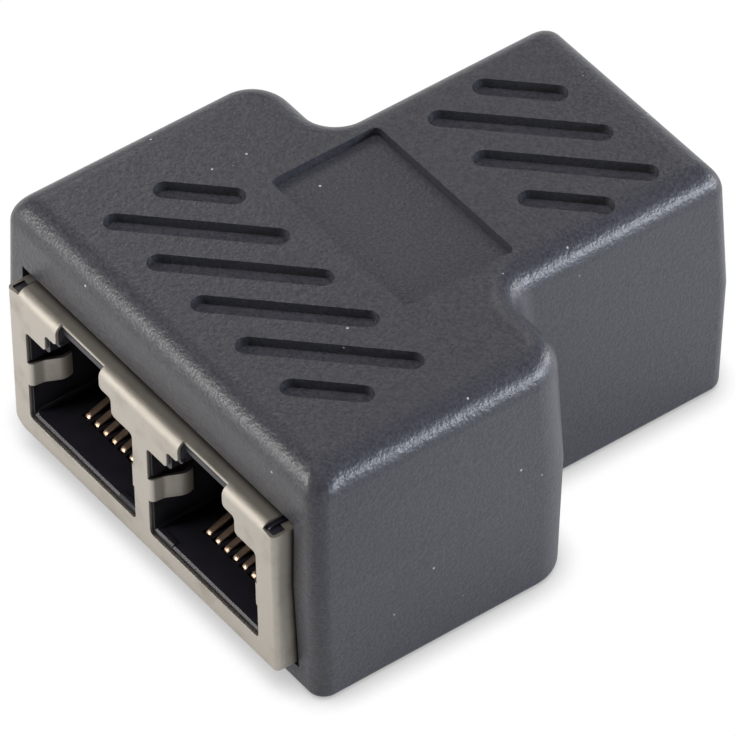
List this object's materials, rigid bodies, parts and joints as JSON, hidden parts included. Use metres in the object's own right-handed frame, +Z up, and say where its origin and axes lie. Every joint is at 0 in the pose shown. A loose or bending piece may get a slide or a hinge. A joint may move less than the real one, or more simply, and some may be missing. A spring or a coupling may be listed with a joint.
{
  "type": "ethernet splitter adapter",
  "caption": "T-shaped network splitter: a moulded grey housing with diagonal grip grooves over shielded plug jacks side by side at the wide end and another at the neck.",
  "frame": {"origin": "middle of the footprint, on the surface it stands on", "axes": "+Z up, the pair of jacks faces -Y, the single jack faces +Y, +X across the wide end"},
  "size_m": [0.0358, 0.0426, 0.0203],
  "materials": {
    "housing_plastic": "fine matt texture",
    "shield_metal": "nickel-plated sheet",
    "insulator_plastic": "smooth black",
    "contact_metal": "gold-flashed wire",
    "board_laminate": "solder-masked laminate"
  },
  "bodies": {
    "root": {"housing": "housing_plastic", "circuit_board": "board_laminate", "dual_jack_shield": "shield_metal", "dual_jack_insulator": "insulator_plastic", "single_jack_shield": "shield_metal", "single_jack_insulator": "insulator_plastic", "port_a_contact_block": "insulator_plastic", "port_b_contact_block": "insulator_plastic", "port_c_contact_block": "insulator_plastic", "port_a_contact_1": "contact_metal", "port_a_contact_2": "contact_metal", "port_a_contact_3": "contact_metal", "port_a_contact_4": "contact_metal", "port_a_contact_5": "contact_metal", "port_a_contact_6": "contact_metal", "port_a_contact_7": "contact_metal", "port_a_contact_8": "contact_metal", "port_b_contact_1": "contact_metal", "port_b_contact_2": "contact_metal", "port_b_contact_3": "contact_metal", "port_b_contact_4": "contact_metal", "port_b_contact_5": "contact_metal", "port_b_contact_6": "contact_metal", "port_b_contact_7": "contact_metal", "port_b_contact_8": "contact_metal", "port_c_contact_1": "contact_metal", "port_c_contact_2": "contact_metal", "port_c_contact_3": "contact_metal", "port_c_contact_4": "contact_metal", "port_c_contact_5": "contact_metal", "port_c_contact_6": "contact_metal", "port_c_contact_7": "contact_metal", "port_c_contact_8": "contact_metal"}
  },
  "joints": []
}
